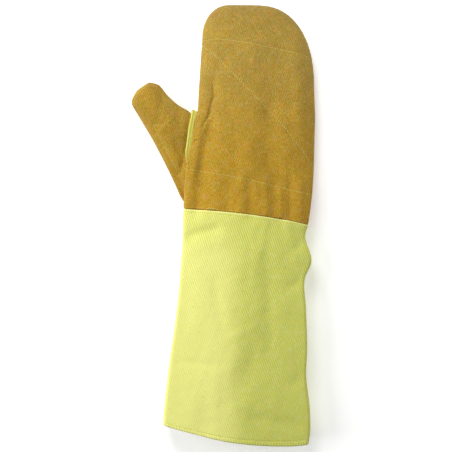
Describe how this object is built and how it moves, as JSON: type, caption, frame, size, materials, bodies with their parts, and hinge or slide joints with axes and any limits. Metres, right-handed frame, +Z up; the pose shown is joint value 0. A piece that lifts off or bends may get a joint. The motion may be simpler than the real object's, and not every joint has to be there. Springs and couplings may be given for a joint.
{
  "type": "long heat-resistant mitten",
  "caption": "Long fire-resistant work mitten lying flat: padded hand and thumb stalls, a gusset round the thumb's crotch and a wide twill gauntlet cuff open at the hem.",
  "frame": {"origin": "on the surface it lies on, under the middle of the whole mitten's box", "axes": "+X to the right away from the thumb, +Y from the cuff towards the fingertips, +Z up through the upper face"},
  "size_m": [0.2002, 0.4766, 0.041],
  "materials": {
    "heat_cloth": "matt heathered felted weave, golden brown with orange and olive fibres",
    "twill": "pale yellow-green para-aramid twill with fine diagonal ribs and a soft sheen",
    "gusset_cloth": "yellow-green twill strip, cut on the bias",
    "thread": "pale yellow sewing thread"
  },
  "bodies": {
    "root": {"cuff": "twill", "hand_front": "heat_cloth", "hand_back": "heat_cloth", "thumb_front": "heat_cloth", "thumb_back": "heat_cloth", "crotch_gusset": "gusset_cloth"}
  },
  "joints": []
}
